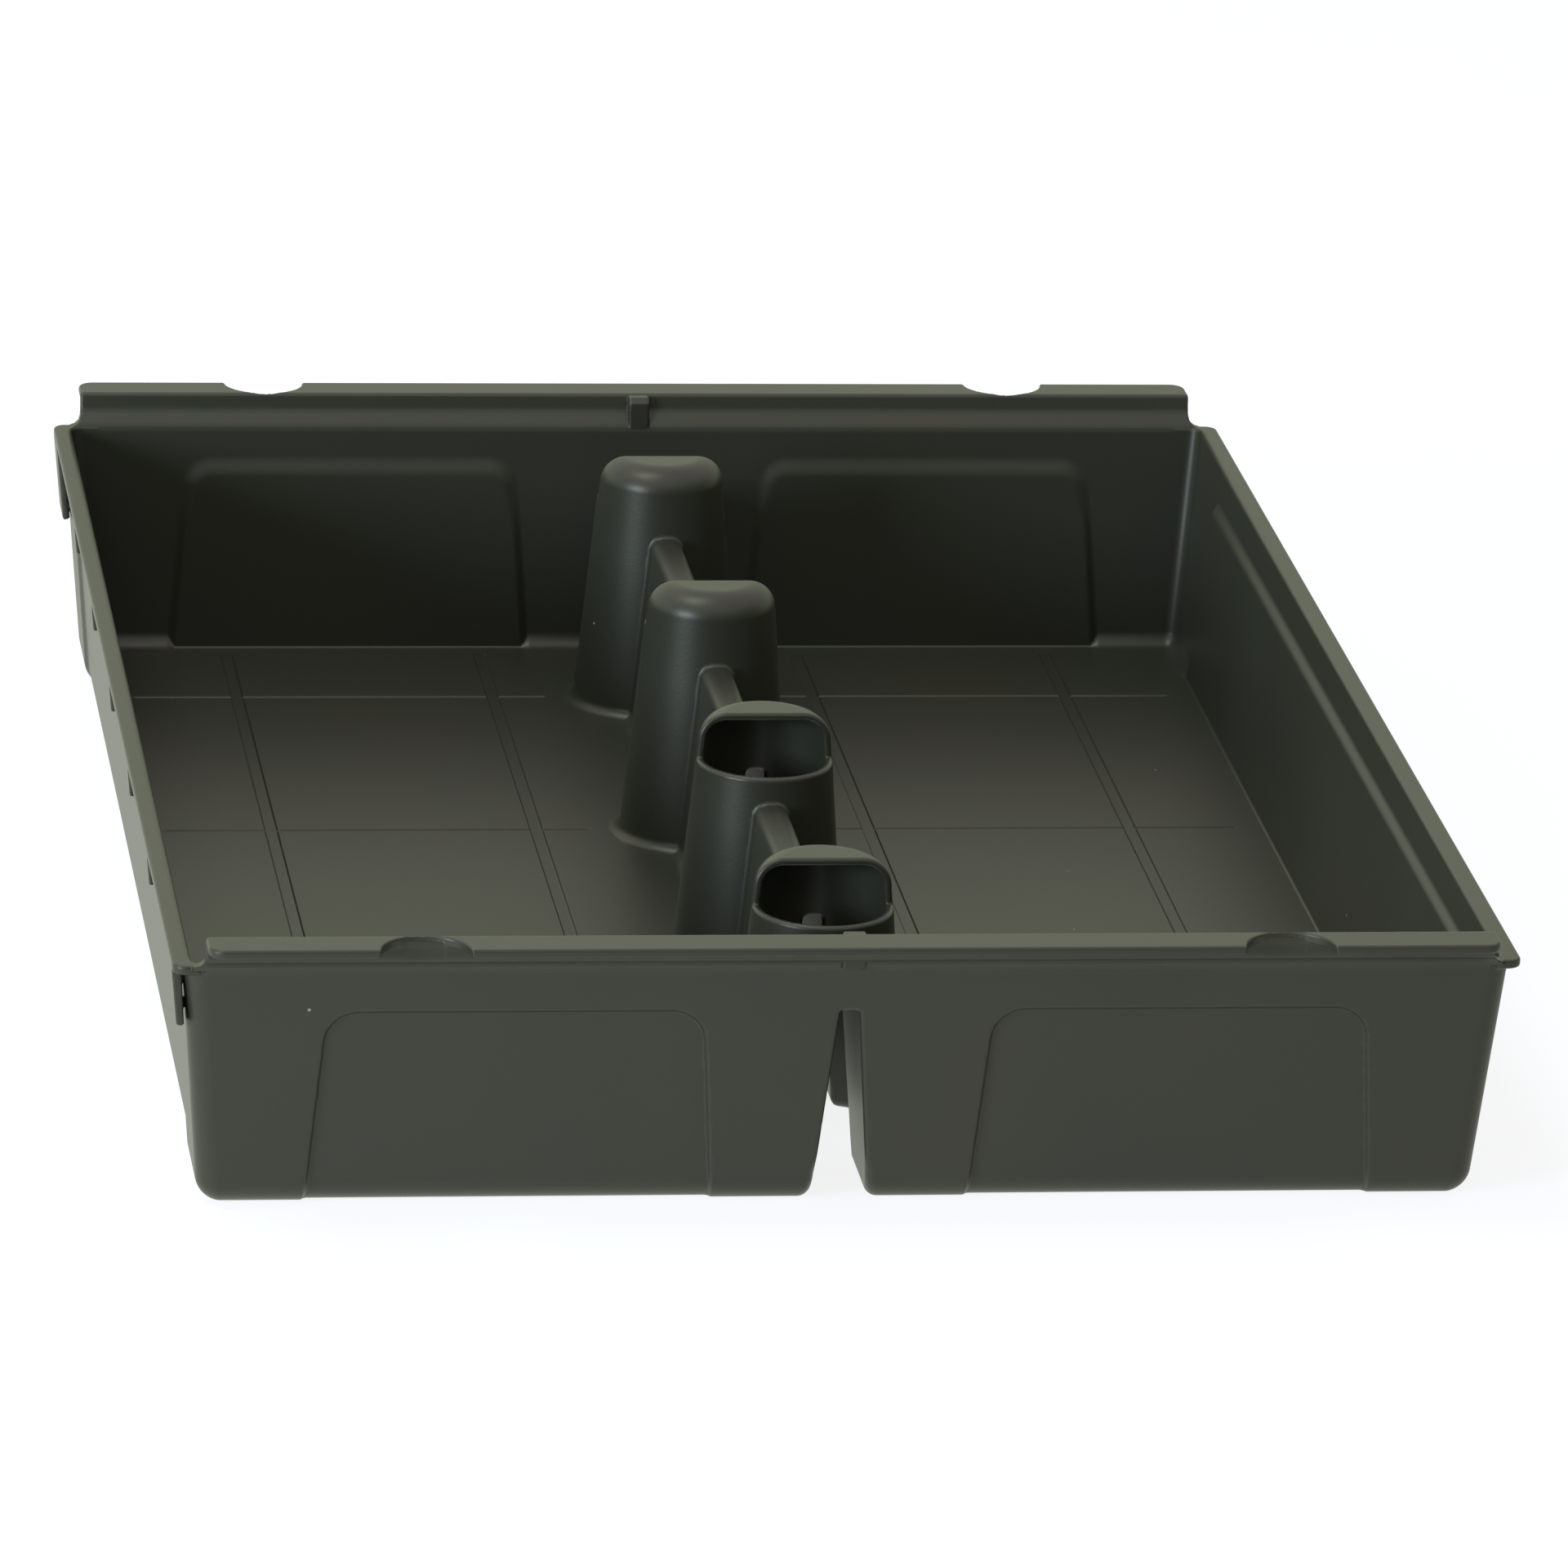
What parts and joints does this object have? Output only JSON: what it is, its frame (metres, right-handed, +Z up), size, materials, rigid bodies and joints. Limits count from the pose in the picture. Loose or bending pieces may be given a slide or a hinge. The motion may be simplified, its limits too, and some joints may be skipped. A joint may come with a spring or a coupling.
{
  "type": "stacking tray",
  "caption": "Shallow drafted plastic tray with stepped end lips, finger notches, side rims and a centre row of hollow posts joined by a tunnel ridge.",
  "frame": {"origin": "middle of the base, on the surface the tray stands on", "axes": "+Z up, -Y towards the front end wall, +Y along the row of posts, +X to the right"},
  "size_m": [0.4, 0.6, 0.0888],
  "materials": {
    "tray_plastic": "dark grey-green moulded polypropylene, satin with a fine grain"
  },
  "bodies": {
    "root": {"floor_left": "tray_plastic", "floor_right": "tray_plastic", "front_wall": "tray_plastic", "rear_wall": "tray_plastic", "left_wall": "tray_plastic", "right_wall": "tray_plastic", "front_lip": "tray_plastic", "rear_lip": "tray_plastic", "left_rim": "tray_plastic", "right_rim": "tray_plastic", "post_1": "tray_plastic", "post_2": "tray_plastic", "post_3": "tray_plastic", "post_4": "tray_plastic", "ridge_front": "tray_plastic", "ridge_1_2": "tray_plastic", "ridge_2_3": "tray_plastic", "ridge_3_4": "tray_plastic", "ridge_rear": "tray_plastic"}
  },
  "joints": []
}
